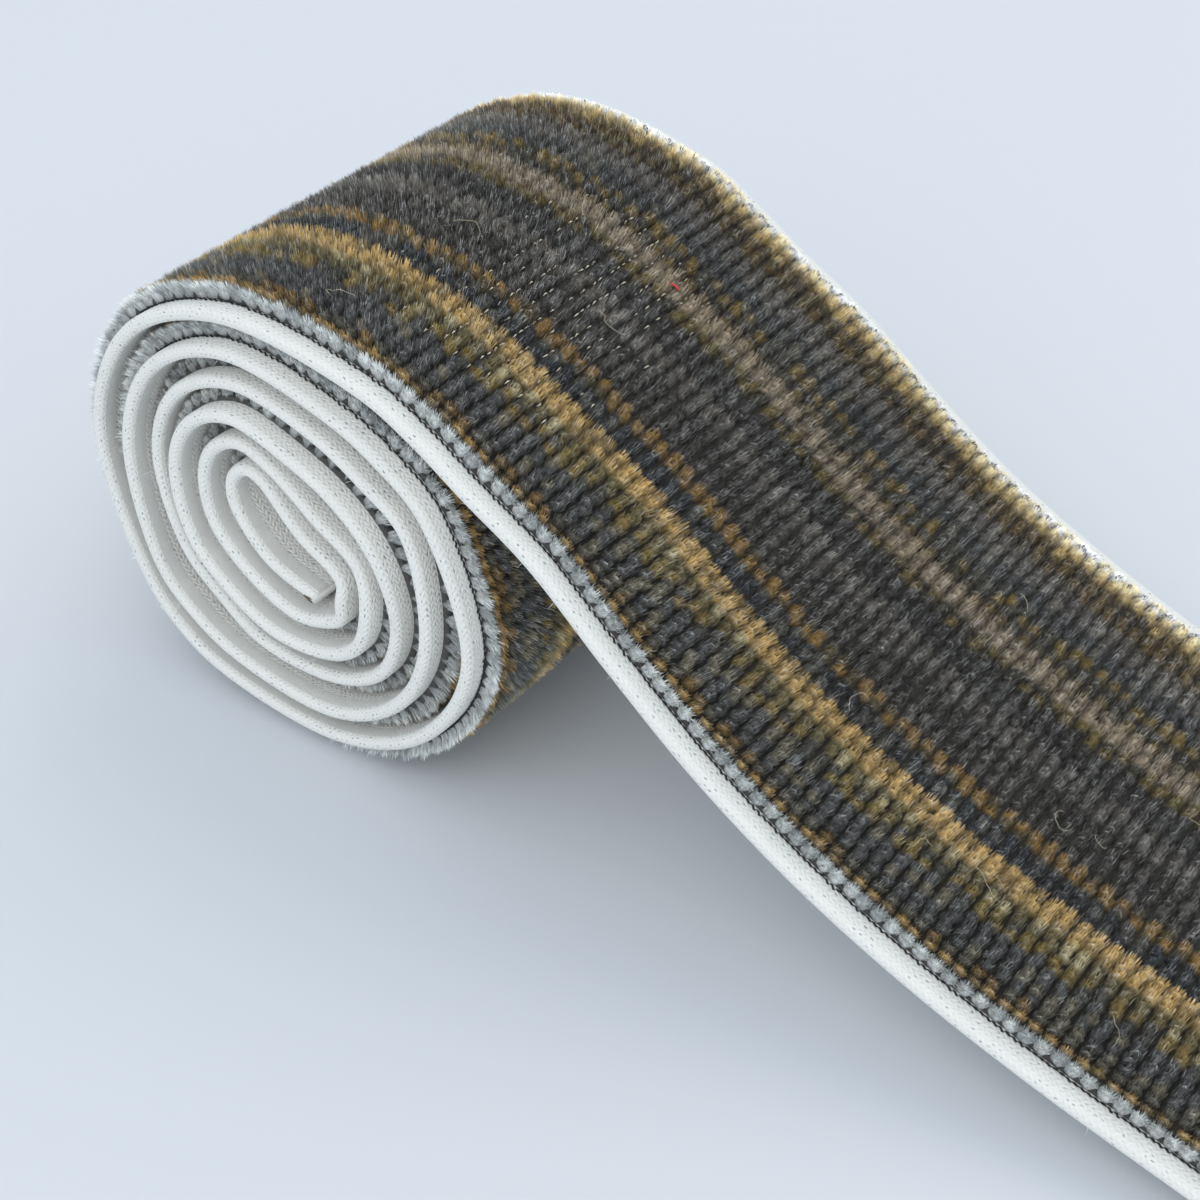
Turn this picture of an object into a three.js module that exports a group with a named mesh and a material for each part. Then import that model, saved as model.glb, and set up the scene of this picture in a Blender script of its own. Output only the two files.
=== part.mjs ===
// Velvet tape trim: one woven tape with a cut pile, wound into an oval roll and let out as a tail.
// Millimetres, +Z up, +X along the tail, +Y across the tape. Roll and tail end rest on z = 0.
import * as THREE from 'three';

// Sizes of the tape
const TAPE_WIDTH = 50;
const GROUND_THICKNESS = 1.3;
const SELVEDGE_WIDTH = 2.2;
const SELVEDGE_ROUNDING = 0.55;
const SELVEDGE_STEPS = 4;
const PILE_HEIGHT = 2.1;
const PILE_ROUNDING = 0.5;
const CLEARANCE = 0.3;
const HALF_GROUND = GROUND_THICKNESS / 2;

// The mean colour of the striped pile
const PILE_COLOUR = '#5c5448';

// The core line the tape is folded around, and its tilt in degrees from +X
const CORE = { x: -0.8, z: 22.0, halfLength: 5.4, tilt: 137 };

// Where the roll is measured: the end of the core line a distance starts from, and its turn
const STATIONS = [
  { name: 'right', end: -1, turn: -135 },
  { name: 'bottomRight', end: -1, turn: 180 },
  { name: 'bottom', end: -1, turn: 135 },
  { name: 'lowerLeftLow', end: -1, turn: 90 },
  { name: 'lowerLeftMid', end: 0, turn: 90 },
  { name: 'lowerLeftHigh', end: 1, turn: 90 },
  { name: 'left', end: 1, turn: 45 },
  { name: 'topLeft', end: 1, turn: 0 },
  { name: 'top', end: 1, turn: -45 },
  { name: 'upperRightHigh', end: 1, turn: -90 },
  { name: 'upperRightMid', end: 0, turn: -90 },
  { name: 'upperRightLow', end: -1, turn: -90 },
];

// The turns from the core outwards: divisions between two stations, how far the turn slid along
// the roll, and the distances from the core line to the outer face of the ground on the near side
const WINDING = [
  {
    divisions: 2, slid: 0.8,
    lowerLeftLow: 2.4, lowerLeftMid: 4.8, lowerLeftHigh: 4.0, left: 3.0, topLeft: 2.6, top: 2.7,
    upperRightHigh: 2.8, upperRightMid: 2.6, upperRightLow: 3.4,
  },
  {
    divisions: 2, slid: 0.3, right: 2.7, bottomRight: 3.2, bottom: 3.6,
    lowerLeftLow: 5.9, lowerLeftMid: 7.9, lowerLeftHigh: 7.6, left: 5.9, topLeft: 5.4, top: 5.6,
    upperRightHigh: 5.8, upperRightMid: 6.6, upperRightLow: 7.3,
  },
  {
    divisions: 2, slid: -0.4, right: 6.1, bottomRight: 6.0, bottom: 6.6,
    lowerLeftLow: 9.4, lowerLeftMid: 11.1, lowerLeftHigh: 10.9, left: 8.8, topLeft: 8.2, top: 8.5,
    upperRightHigh: 9.5, upperRightMid: 11.3, upperRightLow: 11.1,
  },
  {
    divisions: 3, slid: 0.4, right: 8.9, bottomRight: 9.0, bottom: 9.8,
    lowerLeftLow: 13.2, lowerLeftMid: 14.2, lowerLeftHigh: 14.0, left: 11.7, topLeft: 11.0, top: 11.4,
    upperRightHigh: 13.3, upperRightMid: 14.9, upperRightLow: 15.4,
  },
  {
    divisions: 3, slid: -0.2, right: 12.6, bottomRight: 12.0, bottom: 13.4,
    lowerLeftLow: 17.2, lowerLeftMid: 18.9, lowerLeftHigh: 18.6, left: 14.8, topLeft: 13.9, top: 14.6,
    upperRightHigh: 17.4, upperRightMid: 19.2, upperRightLow: 19.5,
  },
  {
    divisions: 4, slid: 0, right: 17.0, bottomRight: 15.5, bottom: 16.4,
    lowerLeftLow: 21.1, lowerLeftMid: 22.6, lowerLeftHigh: 21.9, left: 18.7, topLeft: 17.4, top: 17.9,
    upperRightHigh: 22.4, upperRightMid: 24.3, upperRightLow: 25.4,
  },
];

// How much closer the outermost turn lies on the far side of the roll
const FAR_TIGHTER = { top: 0.4, upperRightHigh: 1.5, upperRightMid: 1.9, upperRightLow: 1.9 };

// The middle of the ground along the tail, its height on the near and on the far side
const TAIL_DIVISIONS = 2;
const TAIL = [
  { x: 26.5, near: 32.6, far: 30.7 },
  { x: 34.0, near: 26.2, far: 25.4 },
  { x: 42.5, near: 19.5, far: 19.9 },
  { x: 52.0, near: 13.8, far: 15.3 },
  { x: 62.5, near: 9.3, far: 11.2 },
  { x: 73.0, near: 6.1, far: 7.8 },
  { x: 83.0, near: 3.8, far: 4.9 },
  { x: 92.0, near: 1.9, far: 2.3 },
  { x: 100.0, near: 0.65, far: 0.65 },
  { x: 106.0, near: 0.65, far: 0.65 },
];

// The path of the tape along one side
function towards(degrees) {
  const angle = THREE.MathUtils.degToRad(degrees);
  return new THREE.Vector2(Math.cos(angle), Math.sin(angle));
}

function windingPoint(station, distance, slid) {
  const start = towards(CORE.tilt).multiplyScalar(station.end * CORE.halfLength);
  const reach = towards(CORE.tilt + station.turn).multiplyScalar(distance - HALF_GROUND);
  return new THREE.Vector3(CORE.x + start.x + reach.x, slid, CORE.z + start.y + reach.y);
}

function tapePath(side) {
  const points = [];
  const divisions = [];
  for (const turn of WINDING) {
    const tighter = side === 'far' && turn === WINDING.at(-1) ? FAR_TIGHTER : {};
    for (const station of STATIONS.filter(({ name }) => name in turn)) {
      const distance = turn[station.name] - (tighter[station.name] ?? 0);
      points.push(windingPoint(station, distance, turn.slid));
      divisions.push(turn.divisions);
    }
  }
  for (const row of TAIL) {
    points.push(new THREE.Vector3(row.x, 0, row[side]));
    divisions.push(TAIL_DIVISIONS);
  }
  return { curve: new THREE.CatmullRomCurve3(points, false, 'centripetal'), divisions };
}

// Stations along one side, each with its place and the way the pile faces there
function tapeFrames(side) {
  const { curve, divisions } = tapePath(side);
  const spans = divisions.length - 1;
  const places = [];
  for (let span = 0; span < spans; span += 1) {
    for (let step = 0; step < divisions[span]; step += 1) {
      places.push(curve.getPoint((span + step / divisions[span]) / spans));
    }
  }
  places.push(curve.getPoint(1));
  for (const place of places) {
    place.z = Math.max(place.z, HALF_GROUND);
  }
  return places.map((place, i) => {
    const before = places[Math.max(i - 1, 0)];
    const after = places[Math.min(i + 1, places.length - 1)];
    const along = new THREE.Vector2(after.x - before.x, after.z - before.z).normalize();
    return { place, facing: new THREE.Vector2(-along.y, along.x) };
  });
}

function lifted(frame, height) {
  return new THREE.Vector2(
    frame.place.x + frame.facing.x * height,
    frame.place.z + frame.facing.y * height,
  );
}

// How far the way from a point runs before it meets the line between two others
function meets(from, way, start, end) {
  const line = end.clone().sub(start);
  const across = way.cross(line);
  const offset = start.clone().sub(from);
  const run = offset.cross(line) / across;
  const share = offset.cross(way) / across;
  return share >= 0 && share <= 1 && run > 0 ? run : Infinity;
}

// The pile stands full height where it is free, and is crushed between two turns and under the roll
function pileHeights(frames) {
  const backing = frames.map((frame) => lifted(frame, -HALF_GROUND));
  return frames.map((frame, i) => {
    const root = lifted(frame, HALF_GROUND);
    let room = Infinity;
    for (let next = i + 1; next + 1 < backing.length; next += 1) {
      room = Math.min(room, meets(root, frame.facing, backing[next], backing[next + 1]) - CLEARANCE);
    }
    if (frame.facing.y < 0) {
      room = Math.min(room, root.y / -frame.facing.y);
    }
    return Math.min(room, PILE_HEIGHT);
  });
}

// The cross-section, as places across the tape and heights above the middle of the ground: two
// rounded bare selvedges and the raised pile between them
function tapeSection(pileHeight) {
  const near = [];
  for (let step = 0; step <= SELVEDGE_STEPS; step += 1) {
    const angle = -Math.PI / 2 + (Math.PI * step) / SELVEDGE_STEPS;
    near.push([SELVEDGE_ROUNDING * (1 - Math.cos(angle)), HALF_GROUND * Math.sin(angle)]);
  }
  const top = HALF_GROUND + pileHeight;
  const rounding = Math.min(PILE_ROUNDING, pileHeight / 2);
  near.push([SELVEDGE_WIDTH, HALF_GROUND]);
  near.push([SELVEDGE_WIDTH, top - rounding]);
  near.push([SELVEDGE_WIDTH + rounding, top]);
  const far = near.map(([across, height]) => [TAPE_WIDTH - across, height]);
  return near.concat(far.reverse());
}

// A closed body ruled from the near side to the far side, one cross-section for each station
function sweep(near, far, nearSections, farSections) {
  const size = nearSections[0].length;
  const positions = [];
  const faces = [];
  near.forEach((frame, i) => {
    for (let corner = 0; corner < size; corner += 1) {
      const across = nearSections[i][corner][0];
      const nearPoint = lifted(frame, nearSections[i][corner][1]);
      const farPoint = lifted(far[i], farSections[i][corner][1]);
      const point = nearPoint.lerp(farPoint, across / TAPE_WIDTH);
      positions.push(point.x, frame.place.y + across, point.y);
    }
  });
  for (let i = 0; i + 1 < near.length; i += 1) {
    for (let corner = 0; corner < size; corner += 1) {
      const next = (corner + 1) % size;
      const here = i * size + corner;
      const beside = i * size + next;
      if (nearSections[i][next][0] < nearSections[i][corner][0]) {
        faces.push(here, here + size, beside, beside, here + size, beside + size);
      } else {
        faces.push(here, here + size, beside + size, here, beside + size, beside);
      }
    }
  }
  const last = (near.length - 1) * size;
  const endFace = (section) => THREE.ShapeUtils.triangulateShape(
    section.map(([across, height]) => new THREE.Vector2(across, height)), [],
  );
  for (const [a, b, c] of endFace(nearSections[0])) {
    faces.push(a, c, b);
  }
  for (const [a, b, c] of endFace(nearSections.at(-1))) {
    faces.push(last + a, last + b, last + c);
  }
  const geometry = new THREE.BufferGeometry();
  geometry.setAttribute('position', new THREE.Float32BufferAttribute(positions, 3));
  geometry.setIndex(faces);
  return geometry;
}

// The tape, centred over the middle of its footprint
const nearFrames = tapeFrames('near');
const farFrames = tapeFrames('far');
const nearSections = pileHeights(nearFrames).map(tapeSection);
const farSections = pileHeights(farFrames).map(tapeSection);
const tape = sweep(nearFrames, farFrames, nearSections, farSections);
tape.computeBoundingBox();
const middle = tape.boundingBox.getCenter(new THREE.Vector3());
tape.translate(-middle.x, -middle.y, -tape.boundingBox.min.z);
tape.computeVertexNormals();

const cutPile = new THREE.MeshStandardMaterial({ color: PILE_COLOUR, roughness: 1, metalness: 0 });
const velvetTape = new THREE.Mesh(tape, cutPile);
velvetTape.name = 'velvet_tape';

const group = new THREE.Group();
group.name = 'velvet_tape_trim';
group.add(velvetTape);

export default group;
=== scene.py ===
"""Velvet tape trim: a striped cut-pile tape, wound into an oval roll and let out as a tail."""
import math
from collections import namedtuple
from functools import partial

import bpy
import numpy as np
from mathutils import Euler, Matrix, Vector


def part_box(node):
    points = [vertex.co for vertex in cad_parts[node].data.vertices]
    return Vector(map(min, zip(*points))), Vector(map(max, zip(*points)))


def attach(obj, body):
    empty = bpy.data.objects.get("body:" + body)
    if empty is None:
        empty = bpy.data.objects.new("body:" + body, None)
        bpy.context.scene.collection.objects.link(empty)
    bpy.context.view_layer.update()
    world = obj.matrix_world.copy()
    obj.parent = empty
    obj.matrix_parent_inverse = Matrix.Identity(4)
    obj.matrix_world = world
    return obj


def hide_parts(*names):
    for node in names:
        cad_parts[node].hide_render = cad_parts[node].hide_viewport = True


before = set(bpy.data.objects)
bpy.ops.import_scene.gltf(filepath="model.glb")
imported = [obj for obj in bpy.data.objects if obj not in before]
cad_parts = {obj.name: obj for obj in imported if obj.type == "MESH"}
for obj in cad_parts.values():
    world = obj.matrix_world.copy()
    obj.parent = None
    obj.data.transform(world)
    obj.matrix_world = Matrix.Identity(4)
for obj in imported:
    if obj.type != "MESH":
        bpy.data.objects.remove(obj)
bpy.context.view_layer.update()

bl_info = {
    "name": "Velvet tape trim",
    "version": (1, 0, 0),
    "blender": (4, 5, 0),
    "location": "3D View > Sidebar > Velvet tape",
    "description": "Builds a wound velvet tape trim with its cut pile, selvedges and lint",
    "category": "Add Mesh",
}

MM = 0.001
TAPE_NODE = "velvet_tape"

# ---- the tape's path, as in the solid

TAPE_WIDTH = 50.0
HALF_GROUND = 0.65
CLEARANCE = 0.3
CORE_X, CORE_Z, CORE_HALF, CORE_TILT = -0.8, 22.0, 5.4, 137.0

# Where the roll is measured: the end of the core line a distance starts from, and its turn
STATIONS = ((-1, -135), (-1, 180), (-1, 135), (-1, 90), (0, 90), (1, 90),
            (1, 45), (1, 0), (1, -45), (1, -90), (0, -90), (-1, -90))

# The turns from the core outwards: how far each slid along the roll, then the distance from the
# core line to the outer face of the ground at each station
WINDING = (
    (0.8, (None, None, None, 2.4, 4.8, 4.0, 3.0, 2.6, 2.7, 2.8, 2.6, 3.4)),
    (0.3, (2.7, 3.2, 3.6, 5.9, 7.9, 7.6, 5.9, 5.4, 5.6, 5.8, 6.6, 7.3)),
    (-0.4, (6.1, 6.0, 6.6, 9.4, 11.1, 10.9, 8.8, 8.2, 8.5, 9.5, 11.3, 11.1)),
    (0.4, (8.9, 9.0, 9.8, 13.2, 14.2, 14.0, 11.7, 11.0, 11.4, 13.3, 14.9, 15.4)),
    (-0.2, (12.6, 12.0, 13.4, 17.2, 18.9, 18.6, 14.8, 13.9, 14.6, 17.4, 19.2, 19.5)),
    (0.0, (17.0, 15.5, 16.4, 21.1, 22.6, 21.9, 18.7, 17.4, 17.9, 22.4, 24.3, 25.4)),
)
# How much closer the outermost turn lies on the far side, at each station
FAR_TIGHTER = (0.0,) * 8 + (0.4, 1.5, 1.9, 1.9)

# The middle of the ground along the tail: x, height on the near side, height on the far side
TAIL = (
    (26.5, 32.6, 30.7), (34.0, 26.2, 25.4), (42.5, 19.5, 19.9), (52.0, 13.8, 15.3),
    (62.5, 9.3, 11.2), (73.0, 6.1, 7.8), (83.0, 3.8, 4.9), (92.0, 1.9, 2.3),
    (100.0, 0.65, 0.65), (106.0, 0.65, 0.65),
)
SPAN_STEPS = 40
PATH_STEP = 0.25
# The search for the next turn skips this many marks, and tells of no more room than this
OWN_MARKS = 8
MOST_ROOM = 9.0


def towards(degrees):
    angle = math.radians(degrees)
    return np.array((math.cos(angle), math.sin(angle)))


def control_points(far):
    """Places of the middle of the ground on one side: x, slide along the roll, z."""
    points = []
    for turn, (slid, distances) in enumerate(WINDING):
        outermost = turn == len(WINDING) - 1
        for (end, bearing), distance, tighter in zip(STATIONS, distances, FAR_TIGHTER):
            if distance is not None:
                reach = distance - (tighter if far and outermost else 0.0) - HALF_GROUND
                place = (np.array((CORE_X, CORE_Z)) + end * CORE_HALF * towards(CORE_TILT)
                         + reach * towards(CORE_TILT + bearing))
                points.append((place[0], slid, place[1]))
    points.extend((x, 0.0, far_z if far else near_z) for x, near_z, far_z in TAIL)
    return np.array(points)


def smooth_path(points, steps):
    """A centripetal Catmull-Rom curve through the points, with that many steps in each span."""
    ends = np.vstack((2 * points[0] - points[1], points, 2 * points[-1] - points[-2]))
    before, start, stop, after = ends[:-3], ends[1:-2], ends[2:-1], ends[3:]
    gaps = [np.sqrt(np.linalg.norm(b - a, axis=1))[:, None]
            for a, b in ((before, start), (start, stop), (stop, after))]
    leave = ((start - before) / gaps[0] - (stop - before) / (gaps[0] + gaps[1])
             + (stop - start) / gaps[1]) * gaps[1]
    arrive = ((stop - start) / gaps[1] - (after - start) / (gaps[1] + gaps[2])
              + (after - stop) / gaps[2]) * gaps[1]
    t = (np.arange(steps) / steps)[None, :, None]
    start, stop, leave, arrive = (v[:, None, :] for v in (start, stop, leave, arrive))
    curve = (start + leave * t + (3 * (stop - start) - 2 * leave - arrive) * t ** 2
             + (2 * (start - stop) + leave + arrive) * t ** 3)
    return np.vstack((curve.reshape(-1, 3), points[-1:]))


class Tape:
    """The wound tape: finds a place from millimetres along it, across it and above its middle."""

    def __init__(self, origin):
        near, far = (smooth_path(control_points(side), SPAN_STEPS) for side in (False, True))
        run = np.linalg.norm(np.diff((near + far) / 2, axis=0), axis=1)
        length = np.concatenate(((0.0,), np.cumsum(run)))
        self.length = float(length[-1])
        self.marks = np.append(np.arange(0.0, self.length, PATH_STEP), self.length)
        self.sides = []
        for side in (near, far):
            place = np.stack([np.interp(self.marks, length, side[:, k]) for k in (0, 2)], 1)
            place[:, 1] = np.maximum(place[:, 1], HALF_GROUND)
            along = np.gradient(place, axis=0)
            along /= np.linalg.norm(along, axis=1)[:, None]
            facing = np.stack((-along[:, 1], along[:, 0]), 1)
            self.sides.append((place, facing))
        self.slid = np.interp(self.marks, length, near[:, 1])
        self.origin = np.array(origin)
        self.room = [self.find_room(*side) for side in self.sides]

    def find_room(self, place, facing):
        """How tall the pile can stand at each mark: up to the next turn's back, or the floor."""
        back = place - facing * HALF_GROUND
        root = place + facing * HALF_GROUND
        line = back[1:] - back[:-1]
        room = np.full(len(place), np.inf)
        for i, way in enumerate(facing):
            first = i + OWN_MARKS + 1
            ahead, offset = line[first:], back[first:-1] - root[i]
            across = way[0] * ahead[:, 1] - way[1] * ahead[:, 0]
            with np.errstate(divide="ignore", invalid="ignore"):
                run = (offset[:, 0] * ahead[:, 1] - offset[:, 1] * ahead[:, 0]) / across
                share = (offset[:, 0] * way[1] - offset[:, 1] * way[0]) / across
            run = run[(share >= 0) & (share <= 1) & (run > 0)]
            if len(run):
                room[i] = run.min() - CLEARANCE
            if way[1] < 0:
                room[i] = min(room[i], root[i, 1] / -way[1])
        return room

    def pile_room(self, along, across):
        """The room at places in millimetres along and across, between its two sides'."""
        near, far = (np.interp(along, self.marks, np.minimum(r, MOST_ROOM)) for r in self.room)
        return near + (far - near) * np.clip(across / TAPE_WIDTH, 0, 1)

    def at(self, along, across, height):
        """Places in millimetres in the part's frame."""
        share = (across / TAPE_WIDTH)[..., None]
        ends = []
        for place, facing in self.sides:
            here = [np.interp(along, self.marks, place[:, k])
                    + height * np.interp(along, self.marks, facing[:, k]) for k in (0, 1)]
            ends.append(np.stack(here, -1))
        spot = ends[0] + (ends[1] - ends[0]) * share
        slid = np.interp(along, self.marks, self.slid)
        return np.stack((spot[..., 0], slid + across, spot[..., 1]), -1) + self.origin


def tape_origin():
    """Where the path's origin lies in the part's frame, worked out from the solid's box."""
    low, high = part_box(TAPE_NODE)
    least_slid = min(slid for slid, _ in WINDING)
    return (high[0] / MM - TAIL[-1][0], low[1] / MM - least_slid, low[2] / MM)


TAPE = Tape(tape_origin())

# Where the pile is free: from the first place in the tape's outer half with this much room
FREE_ROOM = 2.0
FREE_FROM = float(TAPE.marks[np.argmax(
    (np.minimum(*TAPE.room) > FREE_ROOM) & (TAPE.marks > TAPE.length / 2))])

# ---- colours and stripes


def linear(hex_colour):
    """An sRGB hex colour as linear red, green and blue."""
    parts = [int(hex_colour[i:i + 2], 16) / 255 for i in (1, 3, 5)]
    return tuple(p / 12.92 if p <= 0.04045 else ((p + 0.055) / 1.055) ** 2.4 for p in parts)


# The stripes across the tape: where each starts in millimetres, the colour of its yarn and of its
# odd tufts, their share, and how full its tufts are along the tape: the pale yarns are softer,
# and close over the gaps between the ribs
Stripe = namedtuple("Stripe", "start yarn odd share fullness")
STRIPES = tuple(Stripe(*row) for row in (
    # The near edge
    (0.0, "#d3d6d5", "#b9bdbd", 0.30, 1.00),
    (2.75, "#bb9c5e", "#8d794b", 0.22, 1.15),
    (3.60, "#6f6c60", "#937a4b", 0.40, 1.10),
    (4.45, "#666766", "#8b8470", 0.26, 1.05),
    (7.85, "#9a874f", "#63625a", 0.38, 1.05),
    (9.50, "#857a54", "#c9be97", 0.22, 1.05),
    # The gold band and its dark neighbours
    (11.20, "#d2b67a", "#a58d5c", 0.28, 1.30),
    (13.75, "#42464a", "#6b6a62", 0.22, 1.00),
    (16.10, "#a1834c", "#6d6147", 0.30, 1.10),
    (18.00, "#524e49", "#726e68", 0.20, 1.00),
    # The greys of the middle
    (22.90, "#746f67", "#8f8a82", 0.20, 1.00),
    (25.50, "#4d4b48", "#676562", 0.20, 1.00),
    (28.40, "#7f7045", "#524e42", 0.35, 1.05),
    # The taupe band and beyond it
    (30.20, "#a89a82", "#8a7e69", 0.30, 1.28),
    (32.70, "#7f704c", "#65604f", 0.35, 1.10),
    (33.60, "#524e45", "#69635a", 0.20, 1.00),
    (34.50, "#8d7a46", "#5e5c52", 0.40, 1.05),
    (36.10, "#5b5c5b", "#7b776c", 0.24, 1.00),
    (39.00, "#736e67", "#8b867e", 0.20, 1.10),
    # The far edge: mustard, gold and cream yarns, painted lighter than their dye as a painted rim
    # of back light on their tips
    (41.40, "#766644", "#5c5445", 0.35, 1.05),
    (44.30, "#cdb67f", "#a59168", 0.25, 1.15),
    (45.30, "#fdf0c8", "#ead8aa", 0.25, 1.20),
    (46.20, "#ffffff", "#fff6d8", 0.30, 1.20),
))


def stripe_fullness(across):
    """How full the tufts are along the tape, by the stripe that each stands in."""
    starts = [stripe.start for stripe in STRIPES]
    fullness = np.array([stripe.fullness for stripe in STRIPES])
    return fullness[np.searchsorted(starts, across, side="right") - 1]


def length_setting(name, size, description):
    """A length for the user to set, given here in millimetres."""
    return bpy.props.FloatProperty(
        name=name, description=description, default=size * MM, unit="LENGTH")


def colour_setting(name, hex_colour, description):
    return bpy.props.FloatVectorProperty(name=name, description=description, subtype="COLOR",
                                         size=3, default=linear(hex_colour))


class VelvetTapeSettings(bpy.types.PropertyGroup):
    """Sizes and colours of the velvet tape that a user would change."""

    rib_pitch: length_setting("Rib pitch", 1.40, "From one cross rib of the pile to the next")
    column_pitch: length_setting("Column pitch", 0.845, "From one pile yarn to the next")
    selvedge_width: length_setting("Selvedge width", 1.9, "Bare woven edge beside the pile")
    pile_height: length_setting("Pile height", 2.0, "Height of the free pile above the ground")
    fibres: bpy.props.IntProperty(
        name="Fibres in a tuft", description="Loose fibre ends drawn on each tuft",
        default=56, min=1, max=120)
    seed: bpy.props.IntProperty(
        name="Seed", description="Seed of the tufts' unevenness", default=11)
    ground_colour: colour_setting("Ground", "#ebeae4", "The bleached cotton ground")
    fleck_colour: colour_setting("Flecks", "#7d858c", "Flecks between the ground's threads")
    floor_colour: colour_setting("Floor", "#d8dce0", "The plain floor")


def settings():
    return bpy.context.scene.velvet_tape_settings


# ---- meshes

# Nothing reaches below the floor that the roll stands on
LEAST_HEIGHT = 0.02
BAKE_MAP = "OFBake"


def make_piece(name, places, faces, marks, finish, flat=None):
    """One object from places in millimetres, lists of faces, marks on its points and a material.
    flat lays it out for baking: a place in the unit square for each point or each face corner."""
    places[:, 2] = np.maximum(places[:, 2], LEAST_HEIGHT)
    mesh = bpy.data.meshes.new(name)
    mesh.vertices.add(len(places))
    mesh.vertices.foreach_set("co", (places * MM).astype(np.float32).ravel())
    corners = np.concatenate([f.ravel() for f in faces]).astype(np.int32)
    sizes = np.concatenate([np.full(len(f), f.shape[1]) for f in faces])
    starts = np.concatenate(((0,), np.cumsum(sizes)[:-1])).astype(np.int32)
    mesh.loops.add(len(corners))
    mesh.loops.foreach_set("vertex_index", corners)
    mesh.polygons.add(len(sizes))
    mesh.polygons.foreach_set("loop_start", starts)
    mesh.update(calc_edges=True)
    mesh.shade_smooth()
    for mark, values in marks.items():
        layer = mesh.attributes.new(mark, "FLOAT_VECTOR", "POINT")
        layer.data.foreach_set("vector", values.astype(np.float32).ravel())
    if flat is not None:
        flat = flat if len(flat) == len(corners) else flat[corners]
        mesh.uv_layers.new(name=BAKE_MAP).data.foreach_set("uv", flat.astype(np.float32).ravel())
    mesh.materials.append(finish)
    piece = bpy.data.objects.new(name, mesh)
    bpy.context.scene.collection.objects.link(piece)
    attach(piece, "root")
    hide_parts(TAPE_NODE)


def ring_corners(rows, columns):
    """The points of a swept body but for its last ring, and the next point round from each."""
    first, column = np.arange(rows - 1)[:, None] * columns, np.arange(columns)
    return first + column, first + (column + 1) % columns


def sweep(along, across, height):
    """A closed body: rows are stations along the tape, columns go round its section."""
    rows, columns = across.shape
    places = TAPE.at(np.repeat(along, columns), across.ravel(), height.ravel())
    here, beside = ring_corners(rows, columns)
    sides = np.stack((here, here + columns, beside + columns, beside), -1).reshape(-1, 4)
    start = np.arange(columns)[None, :]
    return places, [sides, start, rows * columns - 1 - start]


# ---- materials

MATHS = "ShaderNodeMath"
MIX = "ShaderNodeMix"
ATTRIBUTE = "ShaderNodeAttribute"
SEPARATE = "ShaderNodeSeparateXYZ"
COMBINE = "ShaderNodeCombineXYZ"
NOISE = "ShaderNodeTexNoise"
VECTOR = "ShaderNodeVectorMath"
SHADER = "ShaderNodeBsdfPrincipled"
OUTPUT = "ShaderNodeOutputMaterial"
# Sockets of a colour mix: its factor and its two colours
SHARE, FIRST, SECOND = 0, 6, 7


def add_node(tree, kind, inputs=(), **options):
    """Adds a node with its settings. Its inputs, by place or by name, are values, sockets or
    nodes, of which the first output in use is taken."""
    node = tree.nodes.new(kind)
    for option, value in options.items():
        setattr(node, option, value)
    for socket, value in inputs.items() if isinstance(inputs, dict) else enumerate(inputs):
        if isinstance(value, bpy.types.Node):
            value = next(output for output in value.outputs if output.enabled)
        if isinstance(value, bpy.types.NodeSocket):
            tree.links.new(value, node.inputs[socket])
        else:
            node.inputs[socket].default_value = value
    return node


def new_material(name):
    """An empty material, and add_node for its nodes."""
    material = bpy.data.materials.new(name)
    material.use_nodes = True
    material.node_tree.nodes.clear()
    return material, partial(add_node, material.node_tree)


def opaque(colour):
    return (*tuple(colour)[:3], 1.0)


# The pile's dye and light. A pair is a gain and a base
STRANDS = 24
# Painted glints: above which chance a fibre is painted paler, how far, and in what colour
GLINT_FROM, GLINT_SHARE, GLINT_COLOUR = 0.84, 0.50, "#c9cbc8"
UNEVEN_DYE = (0.7, 0.75)
DEPTH_FALL, DEPTH_LIGHT = 1.6, (1.25, 0.09)
RIM_FALL, RIM_LIGHT = 2.0, (-0.50, 1.28)
PATCH_SCALE, PATCH_LIGHT = 0.06, (0.5, 0.75)
STRAND_RELIEF = 0.06


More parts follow.
